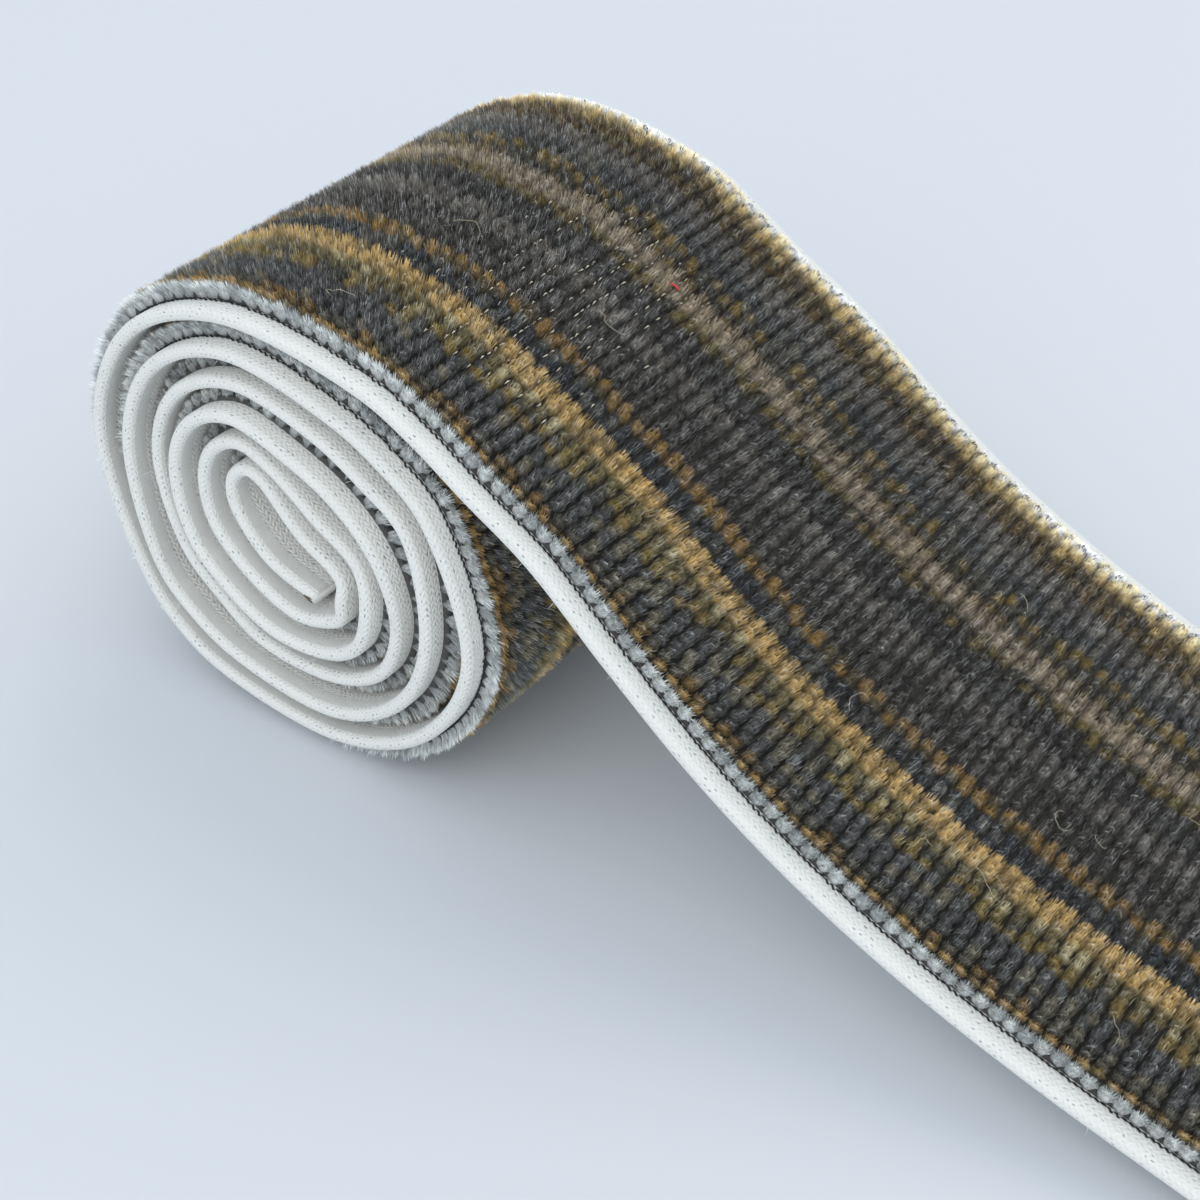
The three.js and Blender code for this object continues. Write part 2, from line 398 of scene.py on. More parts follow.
def cut_pile_material():
    """Cut velvet pile of wool, dyed in the yarn and cut on the loom: matt, with painted shade
    that is darkest at its roots, and single cut ends painted paler as glints of light."""
    material, add = new_material("cut velvet pile")
    tuft = add(ATTRIBUTE, attribute_name="tuft")
    across, along, chance = add(SEPARATE, [tuft]).outputs
    fibre = add(ATTRIBUTE, attribute_name="fibre")
    lift, turn, rim = add(SEPARATE, [fibre]).outputs
    # Every fibre belongs to one of its tuft's strands, and each strand has its own shade
    strand = add(MATHS, [turn, STRANDS], operation="MULTIPLY")
    strand = add(MATHS, [strand], operation="FLOOR")
    single = add(COMBINE, [strand, chance])
    single = add("ShaderNodeTexWhiteNoise", [single], noise_dimensions="2D")
    single = single.outputs["Value"]
    place = add(MATHS, [across, TAPE_WIDTH], operation="DIVIDE")
    ramps = []
    for colours in ("yarn", "odd"):
        ramp = add("ShaderNodeValToRGB", [place])
        ramp.color_ramp.interpolation = "CONSTANT"
        stops = ramp.color_ramp.elements
        for index, stripe in enumerate(STRIPES):
            start = stripe.start / TAPE_WIDTH
            stop = stops[index] if index < len(stops) else stops.new(start)
            stop.position = start
            stop.color = (*linear(getattr(stripe, colours)), stripe.share)
        ramps.append(ramp)
    yarn, odd = ramps
    is_odd = add(MATHS, [chance, odd.outputs["Alpha"]], operation="LESS_THAN")
    dyed = add(MIX, {SHARE: is_odd, FIRST: yarn.outputs["Color"],
                     SECOND: odd.outputs["Color"]}, data_type="RGBA")
    # Some fibres are painted paler, as painted glints of light that streak the pile
    glint = add(MATHS, [single, GLINT_FROM], operation="GREATER_THAN")
    glint = add(MATHS, [glint, GLINT_SHARE], operation="MULTIPLY")
    dyed = add(MIX, {
        SHARE: glint, FIRST: dyed, SECOND: opaque(linear(GLINT_COLOUR))}, data_type="RGBA")
    # Tufts and fibres take the dye unevenly, and little light reaches down to their roots
    uneven = add(MATHS, [single, *UNEVEN_DYE], operation="MULTIPLY_ADD")
    deep = add(MATHS, [lift, DEPTH_FALL], operation="POWER")
    deep = add(MATHS, [deep, *DEPTH_LIGHT], operation="MULTIPLY_ADD")
    # Tufts shade one another where they meet, so each is darkest round its rim
    rim = add(MATHS, [rim, RIM_FALL], operation="POWER")
    rim = add(MATHS, [rim, *RIM_LIGHT], operation="MULTIPLY_ADD")
    patch = add(COMBINE, [across, along])
    patch = add(NOISE, {"Vector": patch, "Scale": PATCH_SCALE, "Detail": 1.0})
    patch = add(MATHS, [patch.outputs["Fac"], *PATCH_LIGHT], operation="MULTIPLY_ADD")
    strength = uneven
    for shade in (deep, rim, patch):
        strength = add(MATHS, [strength, shade], operation="MULTIPLY")
    colour = add(MIX, {SHARE: 1.0, FIRST: dyed, SECOND: strength},
                 data_type="RGBA", blend_type="MULTIPLY")
    bump = add("ShaderNodeBump", {
        "Height": single, "Strength": 0.8, "Distance": STRAND_RELIEF * MM})
    shader = add(SHADER, {
        "Base Color": colour, "Normal": bump, "Roughness": 0.62, "Sheen Weight": 0.35,
        "Sheen Roughness": 0.35, "Sheen Tint": opaque(linear("#dcdad2"))})
    add(OUTPUT, [shader])
    return material


# The ground's threads: length of a stitch, width of a row round the tape and its slant, how
# coarsely and how far they wander, and their relief
STITCH_LENGTH = 0.60
ROW_WIDTH = 0.38
ROW_SLANT = 0.7
WANDER_SCALE, WANDER = 1.1, 0.45
THREAD_RELIEF = 0.05
FUZZ_SCALE, FUZZ_RELIEF = 4.0, 0.8
# Gain and base of the painted shade in the hollows between the threads' backs, and gain of the
# fuzz's tone
THREAD_SHADE, FUZZ_TONE = (0.025, 0.88), 0.16
# The grey flecks: their share of the stitches, how close to the line between two rows and where
# on a stitch they lie, and the gain and base of how faint each is
FLECK_SHARE = 0.28
FLECK_LINE, FLECK_DASH = 0.36, -0.30
FLECK_FAINT = (-2.6, 0.95)


def cotton_ground_material():
    """Bleached cotton, woven close in slanting rows: matt and soft, with a fine herringbone and
    short grey flecks in rows where the binding yarn shows between the threads."""
    material, add = new_material("bleached cotton ground")
    weave = add(ATTRIBUTE, attribute_name="weave")
    vector = weave.outputs["Vector"]
    loose = add(NOISE, {"Vector": vector, "Scale": WANDER_SCALE, "Detail": 2.0})
    loose = add(VECTOR, {0: loose.outputs["Color"], "Scale": WANDER}, operation="SCALE")
    loose = add(VECTOR, [vector, loose], operation="ADD")
    along, around, _ = add(SEPARATE, [loose]).outputs
    row = add(MATHS, [around, ROW_WIDTH], operation="DIVIDE")
    slant = add(MATHS, [row, 1.0], operation="PINGPONG")
    stitch = add(MATHS, [along, STITCH_LENGTH], operation="DIVIDE")
    stitch = add(MATHS, [slant, ROW_SLANT, stitch], operation="MULTIPLY_ADD")
    # The threads' round backs: high in the middle of each stitch and of each row
    wave = add(MATHS, [stitch, 2 * math.pi], operation="MULTIPLY")
    wave = add(MATHS, [wave], operation="SINE")
    ridge = add(MATHS, [row, math.pi], operation="MULTIPLY")
    ridge = add(MATHS, [ridge], operation="SINE")
    ridge = add(MATHS, [ridge], operation="ABSOLUTE")
    thread = add(MATHS, [wave, 1.1, ridge], operation="MULTIPLY_ADD")
    # A fleck is a short dash on the line between two rows, in some of the stitches
    cell = add(COMBINE, [add(MATHS, [stitch], operation="FLOOR"),
                         add(MATHS, [row, 0.5], operation="ADD")])
    cell = add(VECTOR, [cell], operation="FLOOR")
    chance = add("ShaderNodeTexWhiteNoise", [cell], noise_dimensions="2D")
    chance = chance.outputs["Value"]
    chosen = add(MATHS, [chance, FLECK_SHARE], operation="LESS_THAN")
    on_line = add(MATHS, [ridge, FLECK_LINE], operation="LESS_THAN")
    dash = add(MATHS, [wave, FLECK_DASH], operation="LESS_THAN")
    # Some flecks lie deeper between the threads than others
    faint = add(MATHS, [chance, *FLECK_FAINT], operation="MULTIPLY_ADD")
    fleck = on_line
    for part in (dash, chosen, faint):
        fleck = add(MATHS, [fleck, part], operation="MULTIPLY")
    fuzz = add(NOISE, {"Vector": vector, "Scale": FUZZ_SCALE, "Detail": 6.0, "Roughness": 0.7})
    fuzz = fuzz.outputs["Fac"]
    # Painted shade: a little darker in the hollows between the threads' backs, lighter on them
    tone = add(MATHS, [thread, *THREAD_SHADE], operation="MULTIPLY_ADD")
    tone = add(MATHS, [fuzz, FUZZ_TONE, tone], operation="MULTIPLY_ADD")
    white = add(MIX, {SHARE: 1.0, FIRST: opaque(settings().ground_colour), SECOND: tone},
                data_type="RGBA", blend_type="MULTIPLY")
    colour = add(MIX, {
        SHARE: fleck, FIRST: white, SECOND: opaque(settings().fleck_colour)}, data_type="RGBA")
    height = add(MATHS, [fuzz, FUZZ_RELIEF, thread], operation="MULTIPLY_ADD")
    bump = add("ShaderNodeBump", {
        "Height": height, "Strength": 0.45, "Distance": THREAD_RELIEF * MM})
    shader = add(SHADER, {
        "Base Color": colour, "Normal": bump, "Roughness": 0.9, "Sheen Weight": 0.15,
        "Sheen Roughness": 0.5})
    add(OUTPUT, [shader])
    return material


# How fine the twist of a thread's plies is, and the gain and base of its tone
TWIST_SCALE, TWIST_TONE = 4000.0, (0.6, 0.7)


def thread_material(name, hex_colour):
    """A single spun thread: matt, with the small darker twists of its plies."""
    material, add = new_material(name)
    spot = add("ShaderNodeTexCoord").outputs["Object"]
    twist = add(NOISE, {"Vector": spot, "Scale": TWIST_SCALE, "Detail": 2.0})
    tone = add(MATHS, [twist.outputs["Fac"], *TWIST_TONE], operation="MULTIPLY_ADD")
    colour = add(MIX, {SHARE: 1.0, FIRST: opaque(linear(hex_colour)), SECOND: tone},
                 data_type="RGBA", blend_type="MULTIPLY")
    shader = add(SHADER, {"Base Color": colour, "Roughness": 0.8})
    add(OUTPUT, [shader])
    return material


# ---- ground

GROUND_STEP = 0.7
EDGE_STEPS = 6
# The ground's bake map: strips one above the other, and small circles for the tape's two ends
STRIPS = 3
STRIP_FILL = 0.97
END_PLACE, END_RADIUS, END_APART = (0.985, 0.02), 0.010, 0.05


class VELVETTAPE_OT_ground(bpy.types.Operator):
    """Weave the white ground with its two rounded selvedges"""

    bl_idname = "velvettape.ground"
    bl_label = "Ground and selvedges"

    def execute(self, context):
        along = np.linspace(0, TAPE.length, int(TAPE.length / GROUND_STEP) + 1)
        turn = np.linspace(-math.pi / 2, math.pi / 2, EDGE_STEPS + 1)
        edge, rise = HALF_GROUND * (1 - np.cos(turn)), HALF_GROUND * np.sin(turn)
        inner = settings().selvedge_width / MM
        span = np.array((inner, TAPE_WIDTH / 2, TAPE_WIDTH - inner))
        across = np.concatenate((edge, span, TAPE_WIDTH - edge[::-1], span[::-1]))
        height = np.concatenate((rise, (HALF_GROUND,) * 3, rise[::-1], (-HALF_GROUND,) * 3))
        run = np.hypot(np.diff(across, append=across[0]), np.diff(height, append=height[0]))
        around = np.concatenate(((0,), np.cumsum(run)))
        columns, rows = len(across), len(along)
        across, height = (np.tile(v, (rows, 1)) for v in (across, height))
        places, faces = sweep(along, across, height)
        weave = np.stack((np.repeat(along, columns), np.tile(around[:-1], rows),
                          across.ravel()), 1)
        make_piece("woven_ground", places, faces, {"weave": weave}, cotton_ground_material(),
                   self.flat(rows, columns, around / around[-1]))
        return {"FINISHED"}

    def flat(self, rows, columns, around):
        """The bake map: side faces in strips, and both ends in small circles beside them."""
        row, column = (v.ravel() for v in np.meshgrid(np.arange(rows - 1), np.arange(columns),
                                                      indexing="ij"))
        each = math.ceil((rows - 1) / STRIPS)
        strip = row // each
        u = ((row - strip * each)[:, None] + (0, 1, 1, 0)) / each * STRIP_FILL
        v = (strip[:, None] + around[column[:, None] + (0, 0, 1, 1)] * STRIP_FILL) / STRIPS
        turn = np.arange(columns) * 2 * math.pi / columns
        end = END_PLACE + END_RADIUS * np.stack((np.cos(turn), np.sin(turn)), 1)
        return np.concatenate((np.stack((u, v), -1).reshape(-1, 2), end, end + (0, END_APART)))


# ---- pile

FREE_PARTS = 5
TUFT_SIDES = 5
CORE_RAGGED = (0.85, 1.15)
# How near the tuft's rim the two rings and the top of its core count
CORE_RIM = (1.0, 0.85, 0.6)
# A fibre's width; where on the tuft's height it starts and ends, and how much lower at the rim
FIBRE_WIDTH = 0.12
FIBRE_FEET = (0.25, 0.55)
FIBRE_TOP, RIM_DROP = 1.04, 0.24
ASIDE_SPREAD, TOP_SPREAD = 0.03, 0.035
MOST_LEAN = 1.2
# How deep a tuft sits in the ground, and the least share of its height that leaning leaves it
SUNK = 0.05
LEAST_RISE = 0.45
BAKE_MARGIN = 0.1
# A tuft: two rings of its core as share of the height, half length and half width, the height of
# the core's top, how far its fibres' feet and cut ends spread along and across, the least share
# of the lean that a fibre takes, and how many fibres it has
Tuft = namedtuple("Tuft", "low_ring high_ring top foot tip least_lean fibres")
FREE_TUFT = Tuft(
    (0.0, 0.48, 0.36), (0.50, 0.57, 0.42), 0.76, (0.56, 0.40), (0.64, 0.48), 0.65, 56)
FRINGE_TUFT = Tuft(
    (0.0, 0.66, 0.36), (0.50, 0.80, 0.50), 0.66, (0.68, 0.40), (0.92, 0.54), 0.15, 120)
CRUSHED_TUFT = Tuft(
    (0.0, 0.52, 0.34), (0.50, 0.62, 0.38), 0.68, (0.58, 0.36), (0.76, 0.44), 0.70, 60)
# How well the roots are lit where the pile is seen from its side
SIDE_LIFT = 0.50
CRUSHED_LIFT = 0.28


def tuft_cores(count, shape, random):
    """The close middle of each tuft: places along, across and in shares of its height; faces,
    places in the bake map's square, and how near the tuft's rim."""
    turn = np.arange(TUFT_SIDES) * 2 * math.pi / TUFT_SIDES
    rings = []
    for level, length, width in (shape.low_ring, shape.high_ring):
        ragged = random.uniform(*CORE_RAGGED, (count, TUFT_SIDES))
        rings.append(np.stack((np.cos(turn) * length * ragged, np.sin(turn) * width * ragged,
                               np.full((count, TUFT_SIDES), level)), -1))
    top = np.zeros((count, 1, 3))
    top[..., 2] = shape.top
    here, beside = (v[0] for v in ring_corners(2, TUFT_SIDES))
    up, aside = here + TUFT_SIDES, beside + TUFT_SIDES
    faces = np.concatenate([np.stack(f, 1) for f in (
        (up, aside, np.full_like(up, 2 * TUFT_SIDES)), (here, beside, aside), (here, aside, up))])
    flat = np.array([(k / TUFT_SIDES, level) for level in (0.0, 0.5) for k in range(TUFT_SIDES)]
                    + [(0.4, 1.0)])
    rim = np.repeat(CORE_RIM, (TUFT_SIDES, TUFT_SIDES, 1))
    return np.concatenate((*rings, top), 1), faces, flat, np.tile(rim, (count, 1))


def cut_fibres(count, shape, random):
    """Slim blades, each a foot and a fine point at its cut end: places, faces, a blade's places
    in the bake map's square, how near the tuft's rim, and shares of the lean."""
    fibres = shape.fibres
    angle = random.uniform(0, 2 * math.pi, (count, fibres))
    reach = np.sqrt(random.uniform(0.0, 1.0, (count, fibres)))
    way = np.stack((np.cos(angle), np.sin(angle)), -1) * reach[..., None]
    foot = way * shape.foot
    tip = way * shape.tip + random.normal(0, ASIDE_SPREAD, (count, fibres, 2))
    low = random.uniform(*FIBRE_FEET, (count, fibres, 1))
    high = FIBRE_TOP - RIM_DROP * reach ** 2 + random.normal(0, TOP_SPREAD, (count, fibres))
    turn = random.uniform(0, math.pi, (count, fibres))
    edge = np.stack((np.cos(turn), np.sin(turn)), -1) * FIBRE_WIDTH / 2
    corners = (np.concatenate((foot - edge, low), -1), np.concatenate((foot + edge, low), -1),
               np.concatenate((tip, high[..., None]), -1))
    places = np.stack(corners, 2).reshape(count, fibres * 3, 3)
    faces = np.arange(fibres * 3).reshape(-1, 3)
    rim = np.repeat(reach, 3, 1)
    leaning = np.repeat(random.uniform(shape.least_lean, MOST_LEAN, (count, fibres)), 3, 1)
    return places, faces, np.array(((0.0, 0.0), (1.0, 0.0), (0.5, 1.0))), rim, leaning


def bake_places(count, fibres, core, fibre):
    """The tufts' bake map: a square for each tuft, with a quarter for its core and the others
    shared by its fibres."""
    side = math.ceil(math.sqrt(count))
    corner = np.stack((np.arange(count) % side, np.arange(count) // side), 1) * 2
    quarters = np.array(((0, 0), (1, 0), (0, 1), (1, 1))) + BAKE_MARGIN
    fill = 1 - 2 * BAKE_MARGIN
    tuft = np.concatenate([quarters[0] + fill * core] + [
        quarters[1 + k % 3] + fill * fibre for k in range(fibres)])
    return ((corner[:, None] + tuft[None]) / (2 * side)).reshape(-1, 2)


def tufts(name, spots, height, shape, lean, random, least_lift=0.0):
    """One piece of joined tufts, each a close core with cut fibres standing out of it. Where the
    pile is seen from its side, least_lift says how well its roots are lit."""
    along, across = spots
    count, fibres = len(along), shape.fibres
    core, core_faces, core_flat, core_rim = tuft_cores(count, shape, random)
    blades, blade_faces, blade_flat, blade_rim, blade_lean = cut_fibres(count, shape, random)
    local = np.concatenate((core, blades), 1)
    faces = np.concatenate((core_faces, blade_faces + core.shape[1]))
    total, level = local.shape[1], local[..., 2]
    core_lean = np.full(core_rim.shape, 0.5 + 0.5 * shape.least_lean)
    bend = np.clip(level, 0, MOST_LEAN) ** 2 * np.concatenate((core_lean, blade_lean), 1)
    length = local[..., 0] * stripe_fullness(across)[:, None]
    s = along[:, None] + length + lean[0][:, None] * bend
    a = across[:, None] + local[..., 1] + lean[1][:, None] * bend
    # A tuft that leans far over keeps its length, so its tip comes down
    rise = np.sqrt(np.maximum(height ** 2 - lean[1] ** 2, (LEAST_RISE * height) ** 2))
    h = HALF_GROUND - SUNK + rise[:, None] * level
    places = TAPE.at(s.ravel(), a.ravel(), h.ravel())
    chance = random.uniform(0, 1, count)
    tuft = np.stack([np.repeat(v, total) for v in (across, along, chance)], 1)
    around = np.tile(np.append(np.tile(np.arange(TUFT_SIDES) / TUFT_SIDES, 2), 0.5), (count, 1))
    turn = np.concatenate((around, np.repeat(random.uniform(0, 1, (count, fibres)), 3, 1)), 1)
    rim = np.concatenate((core_rim, blade_rim), 1)
    lift = least_lift + (1 - least_lift) * level
    fibre = np.stack((lift.ravel(), turn.ravel(), rim.ravel()), 1)
    every = (faces[None] + (np.arange(count) * total)[:, None, None]).reshape(-1, 3)
    finish = bpy.data.materials.get("cut velvet pile") or cut_pile_material()
    make_piece(name, places, [every], {"tuft": tuft, "fibre": fibre}, finish,
               bake_places(count, fibres, core_flat, blade_flat))


# How far every second yarn is set on, in ribs; the tufts' unevenness; the ends' bare margins
YARN_STAGGER = 0.10
ALONG_SPREAD, ACROSS_SPREAD = 0.07, 0.04
INNER_MARGIN, OUTER_MARGIN = 0.6, 0.7


def tuft_places(first, last, columns, random):
    """Uneven places of the tufts in the ribs from first to last, in millimetres along and
    across. columns picks them by their number from the near edge."""
    options = settings()
    rib, inner = options.rib_pitch / MM, options.selvedge_width / MM
    ribs = np.arange(math.ceil(first / rib), math.ceil(last / rib))
    every = column_count()
    spread = (TAPE_WIDTH - 2 * inner) / every
    k, j = (v.ravel() for v in np.meshgrid(ribs, columns % every, indexing="ij"))
    # Neighbouring yarns stand a little to and fro, so that no rib is a ruled line
    along = (k + YARN_STAGGER * (j % 2)) * rib + random.normal(0, ALONG_SPREAD, len(k))
    across = inner + (j + 0.5) * spread + random.normal(0, ACROSS_SPREAD, len(k))
    keep = (along > INNER_MARGIN) & (along < TAPE.length - OUTER_MARGIN)
    return along[keep], across[keep], j[keep]


def column_count():
    """How many tufts stand side by side between the selvedges."""
    options = settings()
    return round((TAPE_WIDTH - 2 * options.selvedge_width / MM) / (options.column_pitch / MM))


# Shares of the height left by the shears, and by wear near the far edge; how far a tuft is pressed
# into the next turn, and its least height
SHEARED = (0.93, 1.05)
WORN_ACROSS, WORN_SHARE = (45.2, 46.8, 47.7), (1.0, 0.85, 0.58)
PRESSED_IN, LEAST_PILE = 0.12, 0.25


def tuft_heights(along, across, random):
    """Full height where there is room, a little worn at the far edge."""
    free = settings().pile_height / MM * random.uniform(*SHEARED, len(along))
    free *= np.interp(across, WORN_ACROSS, WORN_SHARE)
    room = TAPE.pile_room(along, across) + PRESSED_IN
    return np.maximum(np.minimum(free, room), LEAST_PILE)


# How far tips lean across the tape, column by column from its edges: the near edge hangs out over
# its selvedge, and the far edge draws in
NEAR_LEAN = (-0.85, -0.52, -0.26, -0.06, 0.06, 0.14)
FAR_LEAN = (-0.20, -0.15)
MIDDLE_LEAN = 0.20
# The mean lean along the tape, and how much single tufts differ both ways
ALONG_LEAN, LEAN_SPREAD = 0.05, 0.09


def tip_lean(j, random):
    """How far the tips of the tufts in columns j lean: along the tape and across it."""
    every = column_count()
    out = np.full(every, MIDDLE_LEAN)
    out[:len(NEAR_LEAN)] = NEAR_LEAN
    out[every - len(FAR_LEAN):] = FAR_LEAN[::-1]
    on = random.normal(ALONG_LEAN, LEAN_SPREAD, len(j))
    return on, out[j] + random.normal(0.0, LEAN_SPREAD, len(j))


def draws(step):
    """A piece's own random draws, the same in every run."""
    return np.random.default_rng(settings().seed + step)


class VELVETTAPE_OT_pile(bpy.types.Operator):
    """Set the free pile on the outermost turn and the tail"""

    bl_idname = "velvettape.pile"
    bl_label = "Free pile"

    def execute(self, context):
        random = draws(0)
        marks = np.linspace(FREE_FROM, TAPE.length, FREE_PARTS + 1)
        columns = np.arange(1, column_count() - 1)
        for part in range(FREE_PARTS):
            along, across, j = tuft_places(marks[part], marks[part + 1], columns, random)
            height = tuft_heights(along, across, random)
            tufts(f"free_pile_{part + 1}", (along, across), height,
                  FREE_TUFT._replace(fibres=settings().fibres), tip_lean(j, random), random)
        return {"FINISHED"}


class VELVETTAPE_OT_fringe(bpy.types.Operator):
    """Set the fuller outermost column of tufts on each side of the free pile"""

    bl_idname = "velvettape.fringe"
    bl_label = "Edge columns of the pile"

    def execute(self, context):
        random = draws(4)
        along, across, j = tuft_places(FREE_FROM, TAPE.length, np.array((0, -1)), random)
        height = tuft_heights(along, across, random)
        tufts("edge_fringe", (along, across), height, FRINGE_TUFT, tip_lean(j, random), random,
              SIDE_LIFT)
        return {"FINISHED"}


# The crushed pile's lean along the tape, and its unevenness along and across
CRUSHED_LEAN, CRUSHED_SPREAD = 0.25, (0.15, 0.08)


class VELVETTAPE_OT_inner_pile(bpy.types.Operator):
    """Set the crushed pile that shows between the turns at both ends of the roll"""

    bl_idname = "velvettape.inner_pile"
    bl_label = "Pile between the turns"

    def execute(self, context):
        random = draws(1)
        along, across, j = tuft_places(0.0, FREE_FROM, np.array((0, 1, -2, -1)), random)
        height = tuft_heights(along, across, random)
        lean = (random.normal(CRUSHED_LEAN, CRUSHED_SPREAD[0], len(j)),
                random.normal(0, CRUSHED_SPREAD[1], len(j)))
        tufts("crushed_pile", (along, across), height, CRUSHED_TUFT, lean, random, CRUSHED_LIFT)
        return {"FINISHED"}


# The roots: bare margins, their height as a share of the pile's and its rise at each rib, their
# least height and how well they are lit
BED_INSET, BED_BEVEL, BED_ENDS = 0.12, 0.1, 0.3
BED_SHARE, BED_RIBS, BED_LEAST = 0.35, 0.25, 0.15
BED_LIFT = 0.05


class VELVETTAPE_OT_pile_bed(bpy.types.Operator):
    """Fill under the tufts with the close roots of the pile"""

    bl_idname = "velvettape.pile_bed"
    bl_label = "Roots of the pile"

    def execute(self, context):
        random = draws(2)
        rib = settings().rib_pitch / MM
        inner = settings().selvedge_width / MM + BED_INSET
        along = np.arange(BED_ENDS, TAPE.length - BED_ENDS, rib / 4)
        tops = np.array((inner + BED_BEVEL, TAPE_WIDTH / 3, TAPE_WIDTH * 2 / 3,
                         TAPE_WIDTH - inner - BED_BEVEL))
        across = np.concatenate(((inner,), tops, (TAPE_WIDTH - inner,)))
        low = np.full((len(along), 1), HALF_GROUND - 2 * SUNK)
        room = TAPE.pile_room(along[:, None], tops[None, :])
        depth = np.minimum(room, settings().pile_height / MM) * BED_SHARE
        ribs = 1 + BED_RIBS * np.cos(2 * math.pi * along / rib)[:, None]
        high = HALF_GROUND + np.maximum(depth * ribs, BED_LEAST)
        height = np.concatenate((low, high, low), 1)
        across = np.tile(across, (len(along), 1))
        places, faces = sweep(along, across, height)
        columns = across.shape[1]
        chance = random.uniform(0.2, 1, across.size)
        tuft = np.stack((across.ravel(), np.repeat(along, columns), chance), 1)
        fibre = np.stack((np.full(across.size, BED_LIFT), chance, np.ones(across.size)), 1)
        make_piece("pile_roots", places, faces, {"tuft": tuft, "fibre": fibre},
                   bpy.data.materials["cut velvet pile"])
        return {"FINISHED"}


# ---- threads and lint

THREAD_SIDES = 3
THREAD_TAPER = 0.35
# A way that no thread runs along
ASKEW = (0.31, 0.52, 0.79)


def threads(name, lines, radius, finish):
    """One piece of joined round threads. Each line is an array of places in millimetres."""
    sides = THREAD_SIDES
    places, faces, first = [], [], 0
    turn = np.arange(sides) * 2 * math.pi / sides
    for line in lines:
        way = np.gradient(line, axis=0)
        way /= np.linalg.norm(way, axis=1)[:, None]
        aside = np.cross(way, ASKEW)
        aside /= np.linalg.norm(aside, axis=1)[:, None]
        other = np.cross(way, aside)
        thick = np.full(len(line), radius)
        thick[[0, -1]] *= THREAD_TAPER
        ring = (np.cos(turn)[None, :, None] * aside[:, None]
                + np.sin(turn)[None, :, None] * other[:, None]) * thick[:, None, None]
        places.append((line[:, None] + ring).reshape(-1, 3))
        here, beside = (v.ravel() for v in ring_corners(len(line), sides))
        last = (len(line) - 1) * sides
        faces.append(first + np.concatenate((
            np.stack((here, beside, beside + sides), 1),
            np.stack((here, beside + sides, here + sides), 1),
            ((0, 2, 1), (last, last + 1, last + 2)))))
        first += len(line) * sides
    make_piece(name, np.concatenate(places), [np.concatenate(faces)], {}, finish)


# A root stitch at its four places, along the tape and up, and how far it reaches out of the pile
ROOT_ALONG = np.array((0.0, 0.24, 0.46, 0.62))
ROOT_UP = np.array((0.06, 0.14, 0.12, 0.05))
ROOT_REACH = (0.06, 0.34)


class VELVETTAPE_OT_root_thread(bpy.types.Operator):
    """Lay the dark stitches that show where the free pile meets the near selvedge"""

    bl_idname = "velvettape.root_thread"
    bl_label = "Dark root thread"

    def execute(self, context):
        random = draws(3)
        edge = settings().selvedge_width / MM
        lines = []
        for along in np.arange(FREE_FROM, TAPE.length - 1.0, STITCH_LENGTH):
            reach = random.uniform(*ROOT_REACH)
            a = edge - np.array((0.06, 0.14, reach, reach * 0.6))
            lines.append(TAPE.at(along + ROOT_ALONG, a, HALF_GROUND + ROOT_UP))
        threads("root_thread", lines, 0.105, thread_material("black sewing thread", "#23272b"))
        return {"FINISHED"}


# Where the roll opens the ribs to the eye, the white weft shows between them: from, to, middle
WEFT_ALONG = (459.0, 478.0, 468.0)
WEFT_ACROSS = (8.5, 35.0)
WEFT_SHARE, WEFT_FADE = 0.65, 6.0
WEFT_REACH = (0.22, 0.36)
WEFT_UP = np.array((1.08, 1.18, 1.08))


class VELVETTAPE_OT_weft(bpy.types.Operator):
    """Lay the short white dashes of weft that show between the opened ribs"""

    bl_idname = "velvettape.weft"
    bl_label = "White weft between the ribs"

    def execute(self, context):
        random = draws(5)
        rib = settings().rib_pitch / MM
        first, last, middle = WEFT_ALONG
        lines = []
        for along in (np.arange(first // rib, last // rib) + 0.55) * rib:
            share = WEFT_SHARE * math.exp(-((along - middle) / WEFT_FADE) ** 2)
            for across in np.arange(*WEFT_ACROSS, settings().column_pitch / MM):
                if random.uniform() < share:
                    reach = random.uniform(*WEFT_REACH)
                    a = across + reach * np.array((-1.0, 0.0, 1.0))
                    s = along + random.normal(0, ACROSS_SPREAD, 3)
                    lines.append(TAPE.at(s, a, HALF_GROUND + WEFT_UP))
        threads("weft_dashes", lines, 0.08, thread_material("bleached cotton weft", "#e2dbc4"))
        return {"FINISHED"}


LINT_HAIRS = 34
SELVEDGE_HAIRS = 420
# A curled hair: its joints, their length and turn, its height and its waves
HAIR_JOINTS = 16
HAIR_STEP, HAIR_TURN = (0.14, 0.30), (0.18, 0.35)
HAIR_HEIGHT, HAIR_CURL = 0.05, 0.35
# The places of a short hair or yarn end
FROM_FOOT = np.array((0.0, 0.5, 1.0))
FUZZ_REACH = (0.25, 0.8)
FRAYED_ACROSS = (-0.05, 0.0, 0.1, 0.25, 0.45, 0.7)
RED_ALONG, RED_ACROSS = 472.7, 31.1


